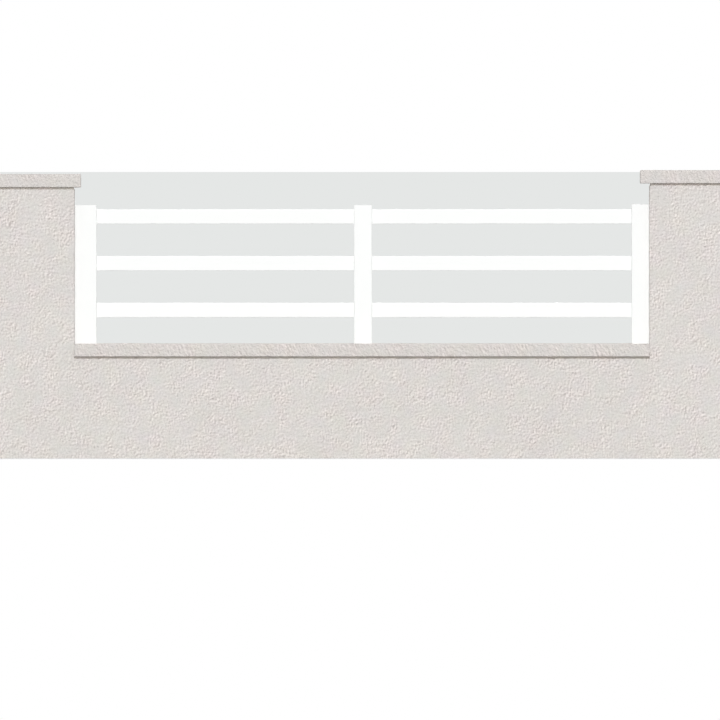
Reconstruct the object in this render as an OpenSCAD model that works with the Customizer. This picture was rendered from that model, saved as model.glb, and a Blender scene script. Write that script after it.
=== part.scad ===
// Slatted garden fence in two bays, set on a low rendered wall between two higher end walls.
// Millimetres, +Z up. X runs along the fence and the front faces -Y.
// The origin is on the ground, under the middle of the opening between the end walls.

/* [Wall] */
// Thickness of the rendered walls, front to back
wall_t = 224; // [160:1:320]
// Height of the low wall, up to its mortar bed
low_wall_h = 559; // [400:1:620]
// Height of the left end wall, up to its mortar bed
left_wall_h = 1507; // [1480:1:2000]
// Height of the right end wall, up to its mortar bed
right_wall_h = 1529; // [1480:1:2000]
// Length of each end wall along the fence
end_wall_l = 450; // [300:1:1200]

/* [Copings] */
// Thickness of a coping at its crown
coping_t = 74; // [60:1:90]
// Fall of a coping's top from the crown to each long edge
coping_fall = 6; // [2:1:12]
// How far a coping stands out past the wall's front and back
coping_overhang = 20; // [18:1:40]
// How far the left coping reaches past its wall, over the fence and at the free end
left_end_overhang = 36; // [20:1:60]
// How far the right coping reaches past its wall, over the fence
right_end_overhang = 52; // [20:1:60]
// Radius of the half-round drip groove under an overhang
drip_r = 4; // [2:0.5:5]
// Thickness of the mortar bed under a coping
bed_t = 12; // [8:1:15]
// How far the bed is raked back from the wall's front and back
bed_rake = 6; // [5:1:25]
// How far the bed is raked back from the end of an end wall
bed_end_rake = 3; // [1:1:10]

/* [Posts] */
// Width of the middle and right posts along the fence
post_w = 100; // [90:1:120]
// Width of the wider post against the left end wall
left_post_w = 124; // [90:1:140]
// Depth of every post, front to back
post_d = 100; // [80:1:120]
// Wall thickness of a post
post_wall = 4; // [3:0.5:5]
// Corner radius of a post
post_r = 4; // [3:0.5:9]
// Height of the left and middle posts over the top slat, with their caps
post_head = 23; // [22:1:90]
// Height of the right post over the top slat, with its cap
right_post_head = 28; // [22:1:90]
// Depth of the post socket, under the crown of the low coping
socket_depth = 200; // [120:1:350]
// Thickness of a post cap's plate
cap_t = 4; // [3:0.5:4.5]
// Width of the chamfer round the top of a cap
cap_chamfer = 1.5; // [0.5:0.5:2]
// Depth of the cap's skirt inside the post
cap_skirt = 16; // [8:1:16]

/* [Slats] */
// Clear width of the left bay, between posts
left_bay_w = 1443; // [800:1:2000]
// Clear width of the right bay, between posts
right_bay_w = 1455; // [800:1:2000]
// Height of a slat
slat_h = 82; // [60:1:90]
// Thickness of a slat, front to back
slat_t = 32; // [28:1:50]
// Wall thickness of a slat
slat_wall = 2.5; // [2:0.5:3.5]
// Corner radius of a slat
slat_r = 3; // [3:0.5:8]
// Clear gap between the low coping and the bottom slat
first_gap = 145; // [60:1:180]
// Clear gap between one slat and the next
slat_gap = 180; // [100:1:200]
// Length of slat inside each post
slat_grip = 30; // [15:1:40]
// Play at each side of a slat in its mortise, and twice this over it
mortise_play = 0.5; // [0.25:0.25:1]

/* [Hidden] */
$fn = 48;
post_names = ["left_post", "middle_post", "right_post"];
bay_names = ["left_bay", "right_bay"];
level_names = ["bottom_slat", "middle_slat", "top_slat"];

render_colour = "#dbd8d3";
coping_colour = "#d9d4cf";
mortar_colour = "#9b968f";
white_plastic = "#f6f7f6";

opening_w = left_post_w + left_bay_w + post_w + right_bay_w + post_w;
wall_face_x = opening_w / 2;
wall_end_x = wall_face_x + end_wall_l;
crown_z = low_wall_h + bed_t + coping_t;
socket_z = crown_z - socket_depth;
drip_y = (wall_t + coping_overhang) / 2;
slat_pitch = slat_h + slat_gap;
slat_bottoms = [for (level = [0 : 2]) crown_z + first_gap + level * slat_pitch];
post_tops = [for (head = [post_head, post_head, right_post_head]) slat_bottoms[2] + slat_h + head];

post_widths = [left_post_w, post_w, post_w];
bay_widths = [left_bay_w, right_bay_w];
bay_starts = [-wall_face_x + left_post_w, wall_face_x - post_w - right_bay_w];
post_starts = [-wall_face_x, bay_starts[1] - post_w, wall_face_x - post_w];
cap_play = 0.3;
skirt_wall = 2;
overlap = 1;

// Rectangle with its lower left corner at the origin and true arcs at its corners
module rounded_rectangle(w, h, r) {
    translate([r, 0]) square([w - 2 * r, h]);
    if (r > 0) {
        translate([0, r]) square([w, h - 2 * r]);
        for (x = [r, w - r], y = [r, h - r]) translate([x, y]) circle(r);
    }
}

// Block from x_from to x_to, centred on the wall's thickness
module block(x_from, x_to, depth, z_from, z_to) {
    translate([x_from, -depth / 2, z_from]) cube([x_to - x_from, depth, z_to - z_from]);
}

// Sweeps a profile drawn in Y and Z along X
module along_fence(x_from, x_to) {
    translate([x_from, 0, 0]) rotate([90, 0, 90]) linear_extrude(x_to - x_from) children();
}

// Plan of one post, drawn in by a margin all round
module post_plan(i, margin) {
    translate([post_starts[i] + margin, margin - post_d / 2]) rounded_rectangle(
        post_widths[i] - 2 * margin, post_d - 2 * margin, max(post_r - margin, 0));
}

// The holes that the posts stand in, up to the given height
module post_sockets(z_top) {
    translate([0, 0, socket_z]) linear_extrude(z_top - socket_z)
        for (i = [0 : 2]) post_plan(i, 0);
}

module end_wall(x_from, height) {
    color(render_colour) block(x_from, x_from + end_wall_l, wall_t, 0, height);
}

module low_wall() {
    color(render_colour) difference() {
        block(-wall_face_x, wall_face_x, wall_t, 0, low_wall_h);
        post_sockets(low_wall_h + overlap);
    }
}

// Mortar bed over an end wall, raked back on all four sides
module end_bed(x_from, z) {
    color(mortar_colour) block(
        x_from + bed_end_rake, x_from + end_wall_l - bed_end_rake, wall_t - 2 * bed_rake, z, z + bed_t);
}

module low_bed() {
    color(mortar_colour) difference() {
        block(-wall_face_x, wall_face_x, wall_t - 2 * bed_rake, low_wall_h, low_wall_h + bed_t);
        post_sockets(low_wall_h + bed_t + overlap);
    }
}

// Coping with its crown over the middle of the wall and a fall to both long edges
module coping(x_from, x_to, z) {
    half = wall_t / 2 + coping_overhang;
    edge = coping_t - coping_fall;
    translate([0, 0, z]) along_fence(x_from, x_to)
        polygon([[-half, 0], [half, 0], [half, edge], [0, coping_t], [-half, edge]]);
}

// Half-round drip grooves under the front and back overhangs
module long_drips(x_from, x_to, z) {
    for (side = [-1, 1])
        translate([x_from, side * drip_y, z]) rotate([0, 90, 0]) cylinder(h = x_to - x_from, r = drip_r);
}

// Half-round drip groove under the overhang at one end
module end_drip(x, z) {
    translate([x, drip_y, z]) rotate([90, 0, 0]) cylinder(h = 2 * drip_y, r = drip_r);
}

// Coping of an end wall: its grooves make a ring under the overhang
module end_coping(x_from, x_to, z) {
    first_drip = x_from + coping_overhang / 2;
    last_drip = x_to - coping_overhang / 2;
    color(coping_colour) difference() {
        coping(x_from, x_to, z);
        long_drips(first_drip, last_drip, z);
        end_drip(first_drip, z);
        end_drip(last_drip, z);
    }
}

module low_coping() {
    z = low_wall_h + bed_t;
    color(coping_colour) difference() {
        coping(-wall_face_x, wall_face_x, z);
        long_drips(-wall_face_x - overlap, wall_face_x + overlap, z);
        post_sockets(crown_z + overlap);
    }
}

// Section of a slat: two chambers with a web between them
module slat_section() {
    chamber_h = (slat_h - 3 * slat_wall) / 2;
    difference() {
        translate([-slat_t / 2, 0]) rounded_rectangle(slat_t, slat_h, slat_r);
        for (level = [0, 1])
            translate([slat_wall - slat_t / 2, slat_wall + level * (chamber_h + slat_wall)])
                rounded_rectangle(slat_t - 2 * slat_wall, chamber_h, max(slat_r - slat_wall, 0));
    }
}

// Outline of the mortise that a slat passes through: the slat rests on its sill
module mortise_section() {
    translate([-slat_t / 2 - mortise_play, 0]) rounded_rectangle(
        slat_t + 2 * mortise_play, slat_h + 2 * mortise_play, slat_r + mortise_play);
}

// Three mortises, one over the other, routed through one side wall of a post
module mortises(x_from) {
    for (z = slat_bottoms)
        translate([0, 0, z]) along_fence(x_from - overlap, x_from + post_wall + overlap) mortise_section();
}

// Hollow post, mortised on each side that a bay meets
module post(i) {
    color(white_plastic) difference() {
        translate([0, 0, socket_z]) linear_extrude(post_tops[i] - cap_t - socket_z) difference() {
            post_plan(i, 0);
            post_plan(i, post_wall);
        }
        if (i > 0) mortises(post_starts[i]);
        if (i < 2) mortises(post_starts[i] + post_widths[i] - post_wall);
    }
}

// Push-in cap: a chamfered plate flush with the post's sides, over a hollow skirt
module post_cap(i) {
    plate_z = post_tops[i] - cap_t;
    skirt_margin = post_wall + cap_play;
    color(white_plastic) union() {
        translate([0, 0, plate_z]) hull() {
            linear_extrude(cap_t - cap_chamfer) post_plan(i, 0, $fn = 32);
            linear_extrude(cap_t) post_plan(i, cap_chamfer, $fn = 32);
        }
        translate([0, 0, plate_z - cap_skirt]) linear_extrude(cap_skirt + overlap) difference() {
            post_plan(i, skirt_margin);
            post_plan(i, skirt_margin + skirt_wall);
        }
    }
}

// Slat of one bay, gripped by the posts at both ends
module slat(bay, level) {
    color(white_plastic) translate([0, 0, slat_bottoms[level]])
        along_fence(bay_starts[bay] - slat_grip, bay_starts[bay] + bay_widths[bay] + slat_grip)
            slat_section();
}

end_wall(-wall_end_x, left_wall_h);  // left_end_wall
low_wall();
end_wall(wall_face_x, right_wall_h);  // right_end_wall
end_bed(-wall_end_x, left_wall_h);  // left_coping_bed
low_bed();  // low_coping_bed
end_bed(wall_face_x, right_wall_h);  // right_coping_bed
end_coping(-wall_end_x - left_end_overhang, -wall_face_x + left_end_overhang, left_wall_h + bed_t);  // left_coping
low_coping();
end_coping(wall_face_x - right_end_overhang, wall_end_x + left_end_overhang, right_wall_h + bed_t);  // right_coping
for (i = [0 : 2]) {
    post(i);
    post_cap(i);
}
for (bay = [0, 1], level = [0 : 2])
    slat(bay, level);
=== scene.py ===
import math

import bpy
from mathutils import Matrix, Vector


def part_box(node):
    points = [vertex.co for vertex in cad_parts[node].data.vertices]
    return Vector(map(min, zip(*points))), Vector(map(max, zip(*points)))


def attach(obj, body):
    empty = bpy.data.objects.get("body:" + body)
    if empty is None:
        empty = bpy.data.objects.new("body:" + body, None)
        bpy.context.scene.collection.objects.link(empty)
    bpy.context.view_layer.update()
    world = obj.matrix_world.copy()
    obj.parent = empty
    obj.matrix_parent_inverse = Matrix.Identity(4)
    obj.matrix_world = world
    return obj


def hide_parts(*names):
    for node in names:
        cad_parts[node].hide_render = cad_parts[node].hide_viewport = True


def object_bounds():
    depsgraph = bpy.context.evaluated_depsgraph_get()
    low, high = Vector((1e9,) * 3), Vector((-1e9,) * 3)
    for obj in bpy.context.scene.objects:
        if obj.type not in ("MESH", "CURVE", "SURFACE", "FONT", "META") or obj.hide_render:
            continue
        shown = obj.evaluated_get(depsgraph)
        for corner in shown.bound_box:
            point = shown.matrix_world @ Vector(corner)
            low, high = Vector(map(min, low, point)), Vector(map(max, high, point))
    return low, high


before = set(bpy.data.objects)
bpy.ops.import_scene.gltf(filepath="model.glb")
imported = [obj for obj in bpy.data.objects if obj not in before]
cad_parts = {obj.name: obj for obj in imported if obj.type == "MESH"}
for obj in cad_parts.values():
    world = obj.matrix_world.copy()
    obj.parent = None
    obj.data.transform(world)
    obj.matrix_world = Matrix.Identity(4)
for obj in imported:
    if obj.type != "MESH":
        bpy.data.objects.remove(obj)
cad_low, cad_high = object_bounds()
scene = bpy.context.scene
scene.view_settings.view_transform = "Standard"

# Rendered walls. The real ones are hollow concrete blocks with about 12 mm of cement and sand render on
# every face, dragged with a float while wet, so the sand stands up in short slanting strokes. The coat is
# one skin over all three walls: where the low wall runs into an end wall no joint shows.
# The darker colour is painted shade on one side of each grain; the paler one is partly painted highlight.
WALL_COLOUR, WALL_PAINTED_SHADE_COLOUR = "#faf5f1", "#c4beba"
WALL_ARRIS = 0.003
END_WALL_PITCH = (0.005, 0.005, 0.005)
# The low wall shows only its front and back, so its mesh is coarser through its thickness.
LOW_WALL_PITCH = (0.005, 0.016, 0.005)
WALL_SLANT = math.radians(55)
WALL_RELIEF = 0.007
WALL_STROKE = (0.020, 0.012, 0.012)
# Sand is under 2 mm and too fine to show, so these strokes are drawn about five times as coarse.
WALL_FINE_RELIEF = 0.0075
WALL_FINE_STROKE = (0.0125, 0.009, 0.009)
WALL_GRIT = (0.0125, 0.0085, 0.0085)
# Which way from each grain its painted shade lies.
WALL_PAINTED_SHADE_SHIFT = (0.0078, 0.0, -0.0078)
PAINTED_EMBOSS_CONTRAST = 0.64
PATCH_SIZE = 0.10
SMOOTHEST_PATCH, ROUGHEST_PATCH = 0.4, 1.6
NOISE_LOW, NOISE_MEAN, NOISE_HIGH = 0.35, 0.5, 0.65
# How many finer layers the noise has in the lifted skin, in the bump, in the grit and in patches.
RELIEF_DETAIL, FINE_DETAIL, GRIT_DETAIL, PATCH_DETAIL = 1.0, 1.5, 0.0, 1.0
MOTTLE_PATCH = 0.20
MOTTLE = 0.12
HUE_PATCH = 0.10
HUE_RANGE = (0.085, 0.05, 0.065)
HUE_BASE = tuple(1 - part / 2 for part in HUE_RANGE)
RENDER_ROUGHNESS, RENDER_IOR, RENDER_SPECULAR = 0.95, 1.45, 0.2
SHARP_BEND = math.radians(60)
# A point at least this share of the arris radius out from the core lies on the skin.
SKIN_SHARE = 0.99
# Over this height above a joint, the square edge turns into the rounded arris.
JOINT_BLEND = 0.02
# Joints that end below the foot of every piece, and above its top.
NEVER_JOINED, ALWAYS_JOINED = -1.0, 10.0


def linear(hex_colour):
    """An sRGB hex colour as linear RGBA."""
    channels = [int(hex_colour[i : i + 2], 16) / 255 for i in (1, 3, 5)]
    return [c / 12.92 if c <= 0.04045 else ((c + 0.055) / 1.055) ** 2.4 for c in channels] + [1.0]


def add_node(tree, kind, inputs=None, **settings):
    """A new node with its settings. An input is a value, a socket, or a node that gives its first output."""
    made = tree.nodes.new(kind)
    for name, value in settings.items():
        setattr(made, name, value)
    for key, value in (inputs or {}).items():
        if isinstance(value, bpy.types.Node):
            value = value.outputs[0]
        if isinstance(value, bpy.types.NodeSocket):
            tree.links.new(value, made.inputs[key])
        else:
            made.inputs[key].default_value = value
    return made


def new_tree(name, sockets):
    """A geometry tree with named inputs, and the sockets that give them."""
    tree = bpy.data.node_groups.new(name, "GeometryNodeTree")
    for socket_name, kind in sockets.items():
        tree.interface.new_socket(name=socket_name, in_out="INPUT", socket_type="NodeSocket" + kind)
    tree.interface.new_socket(name="Mesh", in_out="OUTPUT", socket_type="NodeSocketGeometry")
    return tree, tree.nodes.new("NodeGroupInput").outputs


def end_tree(tree, mesh, finish):
    """Shades the mesh smooth apart from its sharp edges, gives it its material and ends the tree."""
    bend = add_node(tree, "GeometryNodeInputMeshEdgeAngle")
    soft = add_node(tree, "ShaderNodeMath", {0: bend, 1: SHARP_BEND}, operation="LESS_THAN")
    smooth = add_node(tree, "GeometryNodeSetShadeSmooth", {0: mesh}, domain="FACE")
    creased = add_node(tree, "GeometryNodeSetShadeSmooth", {0: smooth, "Shade Smooth": soft}, domain="EDGE")
    real = add_node(tree, "GeometryNodeRealizeInstances", {0: creased})
    finished = add_node(tree, "GeometryNodeSetMaterial", {0: real, "Material": finish})
    add_node(tree, "NodeGroupOutput", {0: finished})


def make_piece(name, tree, values, start=None):
    """Runs a geometry tree with its inputs set, on a start mesh if one is given, and keeps a plain mesh."""
    maker = bpy.data.objects.new(name + "_maker", start or bpy.data.meshes.new(name + "_maker"))
    scene.collection.objects.link(maker)
    modifier = maker.modifiers.new("make", "NODES")
    modifier.node_group = tree
    for item in tree.interface.items_tree:
        if item.in_out == "INPUT" and item.name in values:
            modifier[item.identifier] = values[item.name]
    bpy.context.view_layer.update()
    evaluated = maker.evaluated_get(bpy.context.evaluated_depsgraph_get())
    mesh = bpy.data.meshes.new_from_object(evaluated)
    mesh.name = name
    bpy.data.objects.remove(maker)
    piece = bpy.data.objects.new(name, mesh)
    scene.collection.objects.link(piece)
    return piece


def dragged_grain(tree, where, stroke, slant, detail):
    """Noise in short strokes of the given length, width and depth, all slanting the same way."""
    by_slant = {"Vector": where, "Angle": slant}
    turned = add_node(tree, "ShaderNodeVectorRotate", by_slant, rotation_type="Y_AXIS")
    scaled = add_node(tree, "ShaderNodeVectorMath", {0: turned, 1: stroke}, operation="DIVIDE")
    return add_node(tree, "ShaderNodeTexNoise", {"Vector": scaled, "Scale": 1.0, "Detail": detail})


def patch_roughness(tree, where):
    """How strong the grain is at a place: the float left some patches rougher than others."""
    spots = {"Vector": where, "Scale": 1 / PATCH_SIZE, "Detail": PATCH_DETAIL}
    patch = add_node(tree, "ShaderNodeTexNoise", spots)
    return add_node(
        tree,
        "ShaderNodeMapRange",
        {
            "Value": patch,
            "From Min": NOISE_LOW,
            "From Max": NOISE_HIGH,
            "To Min": SMOOTHEST_PATCH,
            "To Max": ROUGHEST_PATCH,
        },
    )


def grained_block_tree():
    """A block of cement render: rounded arrises, and a skin lifted by the grain.

    A side that is joined to another wall up to some height keeps a square edge there, so that no line shows.
    """
    tree, given = new_tree(
        "grained_block",
        {
            "Lowest corner": "Vector",
            "Highest corner": "Vector",
            "Pitch": "Vector",
            "Arris radius": "Float",
            "Foot radius": "Float",
            "Left side joined up to": "Float",
            "Right side joined up to": "Float",
            "Fall": "Float",
            "Relief": "Float",
            "Stroke": "Vector",
            "Slant": "Float",
            "Finish": "Material",
        },
    )
    low, high, radius = given["Lowest corner"], given["Highest corner"], given["Arris radius"]
    size = add_node(tree, "ShaderNodeVectorMath", {0: high, 1: low}, operation="SUBTRACT")
    half = (0.5, 0.5, 0.5)
    centre = add_node(tree, "ShaderNodeVectorMath", {0: size, 1: half, 2: low}, operation="MULTIPLY_ADD")
    steps = add_node(tree, "ShaderNodeVectorMath", {0: size, 1: given["Pitch"]}, operation="DIVIDE")
    whole_steps = add_node(tree, "ShaderNodeVectorMath", {0: steps}, operation="CEIL")
    rows = add_node(tree, "ShaderNodeVectorMath", {0: whole_steps, 1: (1.0, 1.0, 1.0)}, operation="ADD")
    counts = add_node(tree, "ShaderNodeSeparateXYZ", {0: rows}).outputs
    block = add_node(
        tree,
        "GeometryNodeMeshCube",
        {"Size": size, "Vertices X": counts[0], "Vertices Y": counts[1], "Vertices Z": counts[2]},
    )
    placed = add_node(tree, "GeometryNodeTransform", {"Geometry": block, "Translation": centre})

    # Every point is drawn in to the arris radius from a smaller core inside the block.
    here = add_node(tree, "GeometryNodeInputPosition")
    here_z = add_node(tree, "ShaderNodeSeparateXYZ", {0: here}).outputs[2]
    margins = {}
    for side in ("Left", "Right"):
        joint_top = given[side + " side joined up to"]
        over_joint = add_node(tree, "ShaderNodeMath", {0: here_z, 1: joint_top}, operation="SUBTRACT")
        margins[side] = add_node(
            tree, "ShaderNodeMapRange", {"Value": over_joint, "From Max": JOINT_BLEND, "To Max": radius}
        )
    low_margin = add_node(
        tree, "ShaderNodeCombineXYZ", {0: margins["Left"], 1: radius, 2: given["Foot radius"]}
    )
    high_margin = add_node(tree, "ShaderNodeCombineXYZ", {0: margins["Right"], 1: radius, 2: radius})
    core_low = add_node(tree, "ShaderNodeVectorMath", {0: low, 1: low_margin}, operation="ADD")
    core_high = add_node(tree, "ShaderNodeVectorMath", {0: high, 1: high_margin}, operation="SUBTRACT")
    under_high = add_node(tree, "ShaderNodeVectorMath", {0: here, 1: core_high}, operation="MINIMUM")
    core = add_node(tree, "ShaderNodeVectorMath", {0: under_high, 1: core_low}, operation="MAXIMUM")
    outward = add_node(tree, "ShaderNodeVectorMath", {0: here, 1: core}, operation="SUBTRACT")
    direction = add_node(tree, "ShaderNodeVectorMath", {0: outward}, operation="NORMALIZE")
    reach = add_node(tree, "ShaderNodeVectorMath", {0: outward}, operation="LENGTH").outputs["Value"]
    drawn_in = add_node(tree, "ShaderNodeMath", {0: reach, 1: radius}, operation="MINIMUM")

    # The grain lifts the skin, more in some patches than in others. A joined side stays flat.
    grain = dragged_grain(tree, here, given["Stroke"], given["Slant"], RELIEF_DETAIL)
    level = add_node(tree, "ShaderNodeMath", {0: grain, 1: NOISE_MEAN}, operation="SUBTRACT")
    roughness = patch_roughness(tree, here)
    height = add_node(tree, "ShaderNodeMath", {0: level, 1: roughness}, operation="MULTIPLY")
    nearly = add_node(tree, "ShaderNodeMath", {0: radius, 1: SKIN_SHARE}, operation="MULTIPLY")
    on_skin = add_node(tree, "ShaderNodeMath", {0: reach, 1: nearly}, operation="GREATER_THAN")
    relief = add_node(tree, "ShaderNodeMath", {0: given["Relief"], 1: on_skin}, operation="MULTIPLY")
    lifted = add_node(tree, "ShaderNodeMath", {0: height, 1: relief, 2: drawn_in}, operation="MULTIPLY_ADD")
    skin = add_node(
        tree, "ShaderNodeVectorMath", {0: direction, 1: lifted, 2: core}, operation="MULTIPLY_ADD"
    )

    # The top falls from the middle of the block to its front and back.
    from_low = add_node(tree, "ShaderNodeVectorMath", {0: skin, 1: low}, operation="SUBTRACT")
    share = add_node(tree, "ShaderNodeVectorMath", {0: from_low, 1: size}, operation="DIVIDE")
    shares = add_node(tree, "ShaderNodeSeparateXYZ", {0: share}).outputs
    across = add_node(tree, "ShaderNodeMath", {0: shares[1], 1: 2.0, 2: -1.0}, operation="MULTIPLY_ADD")
    off_crown = add_node(tree, "ShaderNodeMath", {0: across}, operation="ABSOLUTE")
    tilt = add_node(tree, "ShaderNodeMath", {0: off_crown, 1: shares[2]}, operation="MULTIPLY")
    rise = add_node(tree, "ShaderNodeMath", {0: given["Fall"], 1: -1.0}, operation="MULTIPLY")
    drop = add_node(tree, "ShaderNodeMath", {0: tilt, 1: rise}, operation="MULTIPLY")
    offset = add_node(tree, "ShaderNodeCombineXYZ", {2: drop})
    shaped = add_node(
        tree, "GeometryNodeSetPosition", {"Geometry": placed, "Position": skin, "Offset": offset}
    )
    end_tree(tree, shaped, given["Finish"])
    return tree


def cement_render(name, colours, slant, fine_stroke, fine_relief, grit, painted_shade_shift):
    """Cement and sand render, dragged with a float: dull, with no shine, and faintly uneven in hue.

    The eye sees a pale warm grey, where each pale grain has painted shade on one side, as though lit.
    """
    material = bpy.data.materials.new(name)
    material.use_nodes = True
    tree = material.node_tree
    shader = tree.nodes["Principled BSDF"]
    shader.inputs["Roughness"].default_value = RENDER_ROUGHNESS
    shader.inputs["IOR"].default_value = RENDER_IOR
    shader.inputs["Specular IOR Level"].default_value = RENDER_SPECULAR
    where = add_node(tree, "ShaderNodeTexCoord").outputs["Object"]
    fine = dragged_grain(tree, where, fine_stroke, slant, FINE_DETAIL)
    bump = add_node(tree, "ShaderNodeBump", {"Height": fine, "Distance": fine_relief, "Strength": 1.0})
    tree.links.new(bump.outputs[0], shader.inputs["Normal"])

    # Painted emboss: the grain less a shifted copy paints one side of it light and the other in shade.
    beside = add_node(tree, "ShaderNodeVectorMath", {0: where, 1: painted_shade_shift}, operation="ADD")
    grains = dragged_grain(tree, where, grit, slant, GRIT_DETAIL)
    painted_shade_grains = dragged_grain(tree, beside, grit, slant, GRIT_DETAIL)
    level = add_node(tree, "ShaderNodeMath", {0: grains, 1: painted_shade_grains}, operation="SUBTRACT")
    roughness = patch_roughness(tree, where)
    contrast = add_node(tree, "ShaderNodeMath", {0: roughness, 1: PAINTED_EMBOSS_CONTRAST}, operation="MULTIPLY")
    mottle_spots = {"Vector": where, "Scale": 1 / MOTTLE_PATCH, "Detail": PATCH_DETAIL}
    mottle = add_node(tree, "ShaderNodeTexNoise", mottle_spots)
    even = NOISE_MEAN * (1 - MOTTLE)
    middle = add_node(tree, "ShaderNodeMath", {0: mottle, 1: MOTTLE, 2: even}, operation="MULTIPLY_ADD")
    shade = add_node(tree, "ShaderNodeMath", {0: level, 1: contrast, 2: middle}, operation="MULTIPLY_ADD")
    colour, painted_shade_colour = [linear(hex_colour) for hex_colour in colours]
    blend = {0: shade, 6: painted_shade_colour, 7: colour}
    body = add_node(tree, "ShaderNodeMix", blend, data_type="RGBA").outputs[2]
    hue_spots = {"Vector": where, "Scale": 1 / HUE_PATCH, "Detail": PATCH_DETAIL}
    hue = add_node(tree, "ShaderNodeTexNoise", hue_spots)
    tint = add_node(
        tree,
        "ShaderNodeVectorMath",
        {0: hue.outputs["Color"], 1: HUE_RANGE, 2: HUE_BASE},
        operation="MULTIPLY_ADD",
    )
    tinted = add_node(tree, "ShaderNodeVectorMath", {0: body, 1: tint}, operation="MULTIPLY")
    tree.links.new(tinted.outputs[0], shader.inputs["Base Color"])
    return material


grained_block = grained_block_tree()
wall_finish = cement_render(
    "dragged_cement_render",
    (WALL_COLOUR, WALL_PAINTED_SHADE_COLOUR),
    WALL_SLANT,
    WALL_FINE_STROKE,
    WALL_FINE_RELIEF,
    WALL_GRIT,
    WALL_PAINTED_SHADE_SHIFT,
)
low_wall_low, low_wall_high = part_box("low_wall")
middle_x = (low_wall_low.x + low_wall_high.x) / 2


def wall_coat(name, low, high, pitch, joined_left, joined_right):
    """The rendered skin of one stretch of wall."""
    coat = make_piece(
        name,
        grained_block,
        {
            "Lowest corner": low,
            "Highest corner": high,
            "Pitch": pitch,
            "Arris radius": WALL_ARRIS,
            "Foot radius": 0.0,
            "Left side joined up to": joined_left,
            "Right side joined up to": joined_right,
            "Fall": 0.0,
            "Relief": WALL_RELIEF,
            "Stroke": WALL_STROKE,
            "Slant": WALL_SLANT,
            "Finish": wall_finish,
        },
    )
    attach(coat, "root")
    return coat


left_low, left_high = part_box("left_end_wall")
right_low, right_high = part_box("right_end_wall")
left_end_coat = wall_coat(
    "left_end_wall_render", left_low, left_high, END_WALL_PITCH, NEVER_JOINED, low_wall_high.z
)
right_end_coat = wall_coat(
    "right_end_wall_render", right_low, right_high, END_WALL_PITCH, low_wall_high.z, NEVER_JOINED
)
# The low wall's skin has too many faces for one mesh, so it is made in two halves.
low_left_high = Vector((middle_x, low_wall_high.y, low_wall_high.z))
low_left_coat = wall_coat(
    "low_wall_render_left", low_wall_low, low_left_high, LOW_WALL_PITCH, ALWAYS_JOINED, ALWAYS_JOINED
)
low_right_low = Vector((middle_x, low_wall_low.y, low_wall_low.z))
wall_coat(
    "low_wall_render_right", low_right_low, low_wall_high, LOW_WALL_PITCH, ALWAYS_JOINED, ALWAYS_JOINED
)
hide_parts("left_end_wall")
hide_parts("right_end_wall")
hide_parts("low_wall")

# Mortar beds. Each coping lies on about 12 mm of cement mortar, raked back from the face with a pointing
# tool before it set. The recess is what shows as the thin dark line under the coping.
# The darker colour is painted shade on one side of each grain; the paler one is partly painted highlight.
BED_COLOUR, BED_PAINTED_SHADE_COLOUR = "#eae3db", "#d4cdc6"
BED_ARRIS = 0.001
BED_PITCH = (0.006, 0.0245, 0.004)
BED_SLANT = 0.0
BED_RELIEF = 0.003
BED_STROKE = (0.02, 0.01, 0.01)
BED_FINE_RELIEF = 0.002
BED_FINE_STROKE = (0.012, 0.008, 0.008)
BED_GRIT = (0.012, 0.008, 0.008)
# Which way from each grain its painted shade lies.
BED_PAINTED_SHADE_SHIFT = (0.006, 0.0, 0.0)
bed_finish = cement_render(
    "raked_cement_mortar",
    (BED_COLOUR, BED_PAINTED_SHADE_COLOUR),
    BED_SLANT,
    BED_FINE_STROKE,
    BED_FINE_RELIEF,
    BED_GRIT,
    BED_PAINTED_SHADE_SHIFT,
)
for bed_name in ("left_coping_bed", "low_coping_bed", "right_coping_bed"):
    bed_low, bed_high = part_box(bed_name)
    bed = make_piece(
        bed_name + "_mortar",
        grained_block,
        {
            "Lowest corner": bed_low,
            "Highest corner": bed_high,
            "Pitch": BED_PITCH,
            "Arris radius": BED_ARRIS,
            "Foot radius": BED_ARRIS,
            "Left side joined up to": NEVER_JOINED,
            "Right side joined up to": NEVER_JOINED,
            "Fall": 0.0,
            "Relief": BED_RELIEF,
            "Stroke": BED_STROKE,
            "Slant": BED_SLANT,
            "Finish": bed_finish,
        },
    )
    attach(bed, "root")
    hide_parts(bed_name)

# Copings. The real ones are cast concrete cappings with the same render on them, dragged the other way, and
# crowned so that rain runs off both ways. They stand out past the wall over half-round drip grooves.
# The darker colour is painted shade on one side of each grain; the paler one is partly painted highlight.
COPING_COLOUR, COPING_PAINTED_SHADE_COLOUR = "#f4eeea", "#cdc7c3"
COPING_ARRIS = 0.003
COPING_PITCH = (0.005, 0.0066, 0.006)
COPING_FALL = 0.006
COPING_SLANT = math.radians(-64)
COPING_RELIEF = 0.004
COPING_STROKE = (0.020, 0.012, 0.012)
COPING_FINE_RELIEF = 0.010
COPING_FINE_STROKE = (0.011, 0.009, 0.009)
COPING_GRIT = (0.024, 0.009, 0.009)
# Which way from each grain its painted shade lies.
COPING_PAINTED_SHADE_SHIFT = (0.006, 0.0, 0.009)
DRIP_RADIUS = 0.004
DRIP_SETBACK = 0.010
# Between two walls, the grooves are cut right through the ends of the coping.
DRIP_RUN_PAST = 0.02
DRIP_VERTICES = 20
SLIVER = 0.00002
QUARTER_TURN = math.radians(90)
coping_finish = cement_render(
    "rendered_cast_coping",
    (COPING_COLOUR, COPING_PAINTED_SHADE_COLOUR),
    COPING_SLANT,
    COPING_FINE_STROKE,
    COPING_FINE_RELIEF,
    COPING_GRIT,
    COPING_PAINTED_SHADE_SHIFT,
)


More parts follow.
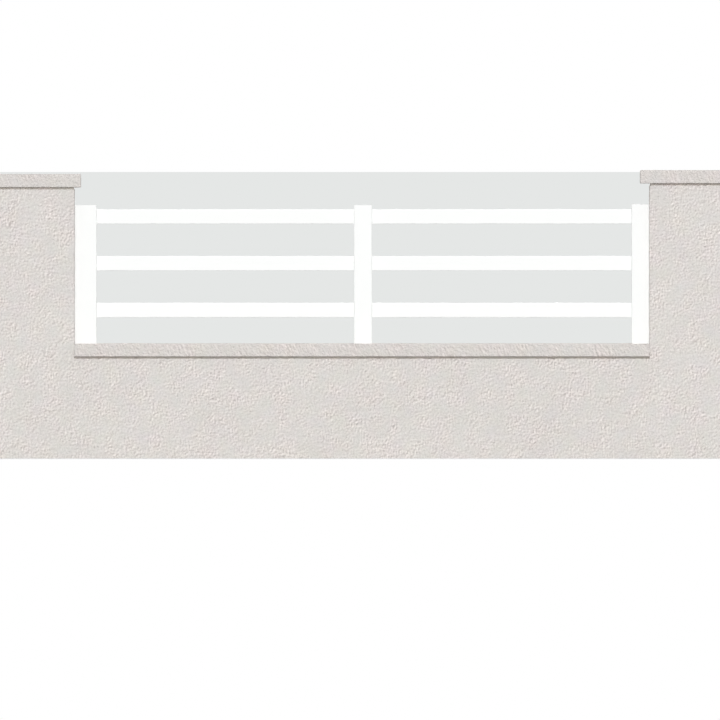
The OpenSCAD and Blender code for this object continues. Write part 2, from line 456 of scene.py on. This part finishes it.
def drip_groove_tree():
    """Cuts drip grooves along the underside of a coping, and across its ends where they are free."""
    tree, given = new_tree(
        "drip_grooves",
        {
            "Coping": "Geometry",
            "Lowest corner": "Vector",
            "Highest corner": "Vector",
            "Setback": "Float",
            "Groove radius": "Float",
            "Run past the ends": "Float",
            "Ends are free": "Bool",
            "Sliver": "Float",
            "Finish": "Material",
        },
    )
    low, high = given["Lowest corner"], given["Highest corner"]
    size = add_node(tree, "ShaderNodeVectorMath", {0: high, 1: low}, operation="SUBTRACT")
    sizes = add_node(tree, "ShaderNodeSeparateXYZ", {0: size}).outputs
    half = (0.5, 0.5, 0.0)
    foot = add_node(tree, "ShaderNodeVectorMath", {0: size, 1: half, 2: low}, operation="MULTIPLY_ADD")
    setback = given["Setback"]
    between = [
        add_node(tree, "ShaderNodeMath", {0: setback, 1: -2.0, 2: sizes[i]}, operation="MULTIPLY_ADD")
        for i in (0, 1)
    ]
    run = add_node(tree, "ShaderNodeMath", {0: between[0], 1: given["Run past the ends"]}, operation="ADD")
    radius = given["Groove radius"]
    # The skin's faces are a little bent. They are split into flat ones first, so that every cut closes.
    cut = add_node(tree, "GeometryNodeTriangulate", {0: given["Coping"]})
    for axis, length, turn in ((1, run, (0, QUARTER_TURN, 0)), (0, between[1], (QUARTER_TURN, 0, 0))):
        rod = add_node(
            tree, "GeometryNodeMeshCylinder", {"Vertices": DRIP_VERTICES, "Radius": radius, "Depth": length}
        )
        cutters = tree.nodes.new("GeometryNodeJoinGeometry")
        for side in (-0.5, 0.5):
            out = add_node(tree, "ShaderNodeMath", {0: between[axis], 1: side}, operation="MULTIPLY")
            shift = add_node(tree, "ShaderNodeCombineXYZ", {axis: out})
            at = add_node(tree, "ShaderNodeVectorMath", {0: foot, 1: shift}, operation="ADD")
            groove = add_node(
                tree, "GeometryNodeTransform", {"Geometry": rod, "Translation": at, "Rotation": turn}
            )
            tree.links.new(groove.outputs[0], cutters.inputs[0])
        grooved = add_node(
            tree, "GeometryNodeMeshBoolean", {0: cut, 1: cutters}, operation="DIFFERENCE", solver="MANIFOLD"
        )
        if axis == 0:
            cut = add_node(tree, "GeometryNodeSwitch", {0: given["Ends are free"], 1: cut, 2: grooved})
        else:
            cut = grooved
    # The cuts leave slivers at the edges of the grooves. Their points are merged.
    closed = add_node(tree, "GeometryNodeMergeByDistance", {"Geometry": cut, "Distance": given["Sliver"]})
    end_tree(tree, closed, given["Finish"])
    return tree


drip_grooves = drip_groove_tree()
for coping_name, ends_are_free in (("left_coping", True), ("low_coping", False), ("right_coping", True)):
    coping_low, coping_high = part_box(coping_name)
    joined = NEVER_JOINED if ends_are_free else ALWAYS_JOINED
    plain_coping = make_piece(
        coping_name + "_plain",
        grained_block,
        {
            "Lowest corner": coping_low,
            "Highest corner": coping_high,
            "Pitch": COPING_PITCH,
            "Arris radius": COPING_ARRIS,
            "Foot radius": COPING_ARRIS,
            "Left side joined up to": joined,
            "Right side joined up to": joined,
            "Fall": COPING_FALL,
            "Relief": COPING_RELIEF,
            "Stroke": COPING_STROKE,
            "Slant": COPING_SLANT,
            "Finish": coping_finish,
        },
    )
    coping = make_piece(
        coping_name + "_render",
        drip_grooves,
        {
            "Lowest corner": coping_low,
            "Highest corner": coping_high,
            "Setback": DRIP_SETBACK,
            "Groove radius": DRIP_RADIUS,
            "Run past the ends": 0.0 if ends_are_free else 2 * DRIP_SETBACK + DRIP_RUN_PAST,
            "Ends are free": ends_are_free,
            "Sliver": SLIVER,
            "Finish": coping_finish,
        },
        start=plain_coping.data,
    )
    bpy.data.objects.remove(plain_coping)
    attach(coping, "root")
    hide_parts(coping_name)

# Posts, caps and slats. All are white PVC, the posts and slats extruded and the caps moulded, with a satin
# skin. The slats pass through routed mortises into the hollow posts, and the caps push into the post tops.
PLASTIC_COLOUR = "#fbfcfb"
PLASTIC_IOR = 1.53
SATIN_LOW, SATIN_HIGH = 0.27, 0.43
# Die lines are about 1 mm apart and too fine to show, so they are drawn four times as coarse.
DIE_LINE_SPACING = 0.004
DIE_LINE_LENGTH = 1.5
DIE_LINE_DEPTH = 0.00006
DIE_LINE_DETAIL = 2.0
MOULD_GRAIN = 0.012


def white_pvc(name, die_lines):
    """White PVC: extruded, with die lines along its length, or moulded, with an even grain.

    The eye sees a clean, cool white with a satin sheen that these faintly break.
    """
    material = bpy.data.materials.new(name)
    material.use_nodes = True
    tree = material.node_tree
    shader = tree.nodes["Principled BSDF"]
    shader.inputs["Base Color"].default_value = linear(PLASTIC_COLOUR)
    shader.inputs["IOR"].default_value = PLASTIC_IOR
    where = add_node(tree, "ShaderNodeTexCoord").outputs["Object"]
    scaled = add_node(tree, "ShaderNodeVectorMath", {0: where, 1: die_lines}, operation="DIVIDE")
    streaks = {"Vector": scaled, "Scale": 1.0, "Detail": DIE_LINE_DETAIL}
    lines = add_node(tree, "ShaderNodeTexNoise", streaks)
    sheen = add_node(tree, "ShaderNodeMapRange", {"Value": lines, "To Min": SATIN_LOW, "To Max": SATIN_HIGH})
    tree.links.new(sheen.outputs[0], shader.inputs["Roughness"])
    bump = add_node(tree, "ShaderNodeBump", {"Height": lines, "Distance": DIE_LINE_DEPTH, "Strength": 1.0})
    tree.links.new(bump.outputs[0], shader.inputs["Normal"])
    return material


slat_lines = (DIE_LINE_LENGTH, DIE_LINE_SPACING, DIE_LINE_SPACING)
post_lines = (DIE_LINE_SPACING, DIE_LINE_SPACING, DIE_LINE_LENGTH)
slat_finish = white_pvc("extruded_white_pvc_slats", slat_lines)
post_finish = white_pvc("extruded_white_pvc_posts", post_lines)
cap_finish = white_pvc("moulded_white_pvc_caps", (MOULD_GRAIN, MOULD_GRAIN, MOULD_GRAIN))
for node_name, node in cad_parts.items():
    for part, finish in (("slat", slat_finish), ("post", post_finish), ("cap", cap_finish)):
        if part in node_name:
            node.data.materials.clear()
            node.data.materials.append(finish)

# Floor. A plain pale sheet round the foot of the wall that fades out into the background. The camera sees a
# darker sheet that glows, so that lit floor looks like the background and shadow shows on it.
FLOOR_COLOUR, FLOOR_SEEN_COLOUR = "#c8cac9", "#a0a1a1"
FLOOR_REACH, FLOOR_LEVEL = 4.0, -0.0005
FLOOR_SOLID, FLOOR_GONE = 0.25, 1.6
FLOOR_GLOW = 0.50
WHITE = (1.0, 1.0, 1.0, 1.0)
floor_mesh = bpy.data.meshes.new("floor")
floor_mesh.from_pydata(
    [(x * FLOOR_REACH, y * FLOOR_REACH, FLOOR_LEVEL) for x, y in ((-1, -1), (1, -1), (1, 1), (-1, 1))],
    [],
    [(0, 1, 2, 3)],
)
floor = bpy.data.objects.new("floor", floor_mesh)
scene.collection.objects.link(floor)
floor_material = bpy.data.materials.new("pale_studio_floor")
floor_material.use_nodes = True
floor_tree = floor_material.node_tree
floor_shader = floor_tree.nodes["Principled BSDF"]
floor_shader.inputs["Roughness"].default_value = 1.0
floor_shader.inputs["Specular IOR Level"].default_value = 0.0
floor_shader.inputs["Emission Color"].default_value = WHITE
floor_where = add_node(floor_tree, "ShaderNodeTexCoord").outputs["Object"]
floor_off = add_node(floor_tree, "ShaderNodeVectorMath", {0: floor_where}, operation="ABSOLUTE")
foot_half = (cad_high.x, low_wall_high.y, 0.0)
floor_past = add_node(floor_tree, "ShaderNodeVectorMath", {0: floor_off, 1: foot_half}, operation="SUBTRACT")
floor_out = add_node(floor_tree, "ShaderNodeVectorMath", {0: floor_past, 1: (0, 0, 0)}, operation="MAXIMUM")
floor_distance = add_node(floor_tree, "ShaderNodeVectorMath", {0: floor_out}, operation="LENGTH")
floor_fade = add_node(
    floor_tree,
    "ShaderNodeMapRange",
    {
        "Value": floor_distance.outputs["Value"],
        "From Min": FLOOR_SOLID,
        "From Max": FLOOR_GONE,
        "To Min": 1.0,
        "To Max": 0.0,
    },
    interpolation_type="SMOOTHSTEP",
)
floor_tree.links.new(floor_fade.outputs[0], floor_shader.inputs["Alpha"])
floor_rays = add_node(floor_tree, "ShaderNodeLightPath").outputs["Is Camera Ray"]
floor_colours = {0: floor_rays, 6: linear(FLOOR_COLOUR), 7: linear(FLOOR_SEEN_COLOUR)}
floor_colour = add_node(floor_tree, "ShaderNodeMix", floor_colours, data_type="RGBA").outputs[2]
floor_tree.links.new(floor_colour, floor_shader.inputs["Base Color"])
floor_glow = add_node(floor_tree, "ShaderNodeMath", {0: floor_rays, 1: FLOOR_GLOW}, operation="MULTIPLY")
floor_tree.links.new(floor_glow.outputs[0], floor_shader.inputs["Emission Strength"])
floor_mesh.materials.append(floor_material)

# Light. A broad soft lamp stands above the camera, and a like one behind the wall, so that front and back
# are lit alike. The surround, further down, fills their shadows.
KEY_STRENGTH, BACK_STRENGTH = 1.81, 1.43
TOWARDS_KEY, TOWARDS_BACK = Vector((0.0, -0.86, 0.38)), Vector((0.15, 0.85, 0.45))
LAMP_SPREAD = math.radians(15)
for lamp_name, strength, towards_lamp in (
    ("key", KEY_STRENGTH, TOWARDS_KEY),
    ("back", BACK_STRENGTH, TOWARDS_BACK),
):
    sun = bpy.data.lights.new(lamp_name, "SUN")
    sun.energy = strength
    sun.angle = LAMP_SPREAD
    lamp = bpy.data.objects.new(lamp_name, sun)
    lamp.rotation_mode = "QUATERNION"
    lamp.rotation_quaternion = towards_lamp.to_track_quat("Z", "Y")
    scene.collection.objects.link(lamp)

# Camera. The picture is a straight-on elevation, so a very long lens looks level at the wall from far
# away, at a scale of 5.6 mm to a pixel on the wall's face.
PHOTO_SIZE = 720
MM_PER_PIXEL = 5.6
ORIGIN_PIXEL_X, GROUND_PIXEL_Y = 361.95, 458.4
SENSOR_MM, LENS_MM = 36.0, 1600.0
NEAREST_SEEN, FARTHEST_SEEN = 1.0, 1000.0
metres_per_pixel = MM_PER_PIXEL / 1000
camera_data = bpy.data.cameras.new("camera")
camera_data.sensor_width, camera_data.lens = SENSOR_MM, LENS_MM
camera_data.clip_start, camera_data.clip_end = NEAREST_SEEN, FARTHEST_SEEN
distance = PHOTO_SIZE * metres_per_pixel * LENS_MM / SENSOR_MM
camera = bpy.data.objects.new("camera", camera_data)
camera.location = (
    (PHOTO_SIZE / 2 - ORIGIN_PIXEL_X) * metres_per_pixel,
    low_wall_low.y - distance,
    (GROUND_PIXEL_Y - PHOTO_SIZE / 2) * metres_per_pixel,
)
camera.rotation_euler = (QUARTER_TURN, 0, 0)
scene.collection.objects.link(camera)
scene.camera = camera

# Surround. It lights the object evenly. To the camera it is the grey band behind the fence, with white
# above and below it.
SURROUND_STRENGTH = 0.476
BACKDROP_COLOUR = "#e5e7e6"
BAND_TOP_PIXEL_Y = 172
WHITE_REACH = 0.03
rise_per_pixel = metres_per_pixel / distance
band_top = (PHOTO_SIZE / 2 - BAND_TOP_PIXEL_Y) * rise_per_pixel
band_foot = (PHOTO_SIZE / 2 - GROUND_PIXEL_Y) * rise_per_pixel
world = bpy.data.worlds.new("studio")
scene.world = world
world.use_nodes = True
world_tree = world.node_tree
world_tree.nodes.clear()
direction = add_node(world_tree, "ShaderNodeTexCoord").outputs["Generated"]
up = add_node(world_tree, "ShaderNodeSeparateXYZ", {0: direction}).outputs[2]
over_band = add_node(world_tree, "ShaderNodeMath", {0: up, 1: band_top}, operation="GREATER_THAN")
under_band = add_node(world_tree, "ShaderNodeMath", {0: up, 1: band_foot}, operation="LESS_THAN")
out_of_band = add_node(world_tree, "ShaderNodeMath", {0: over_band, 1: under_band}, operation="MAXIMUM")
slope = add_node(world_tree, "ShaderNodeMath", {0: up}, operation="ABSOLUTE")
near_level = add_node(
    world_tree,
    "ShaderNodeMapRange",
    {"Value": slope, "From Min": WHITE_REACH, "From Max": 2 * WHITE_REACH, "To Min": 1.0, "To Max": 0.0},
)
white_part = add_node(world_tree, "ShaderNodeMath", {0: out_of_band, 1: near_level}, operation="MULTIPLY")
backdrop_colour = add_node(
    world_tree, "ShaderNodeMix", {0: white_part, 6: linear(BACKDROP_COLOUR), 7: WHITE}, data_type="RGBA"
).outputs[2]
backdrop = add_node(world_tree, "ShaderNodeBackground", {"Color": backdrop_colour, "Strength": 1.0})
surround = add_node(world_tree, "ShaderNodeBackground", {"Color": WHITE, "Strength": SURROUND_STRENGTH})
rays = add_node(world_tree, "ShaderNodeLightPath").outputs
mirror_rays = {0: rays["Is Glossy Ray"], 1: rays["Is Transmission Ray"]}
mirrored = add_node(world_tree, "ShaderNodeMath", mirror_rays, operation="MAXIMUM")
seen = add_node(world_tree, "ShaderNodeMath", {0: rays["Is Camera Ray"], 1: mirrored}, operation="MAXIMUM")
mixed = add_node(world_tree, "ShaderNodeMixShader", {0: seen, 1: surround, 2: backdrop})
add_node(world_tree, "ShaderNodeOutputWorld", {"Surface": mixed})
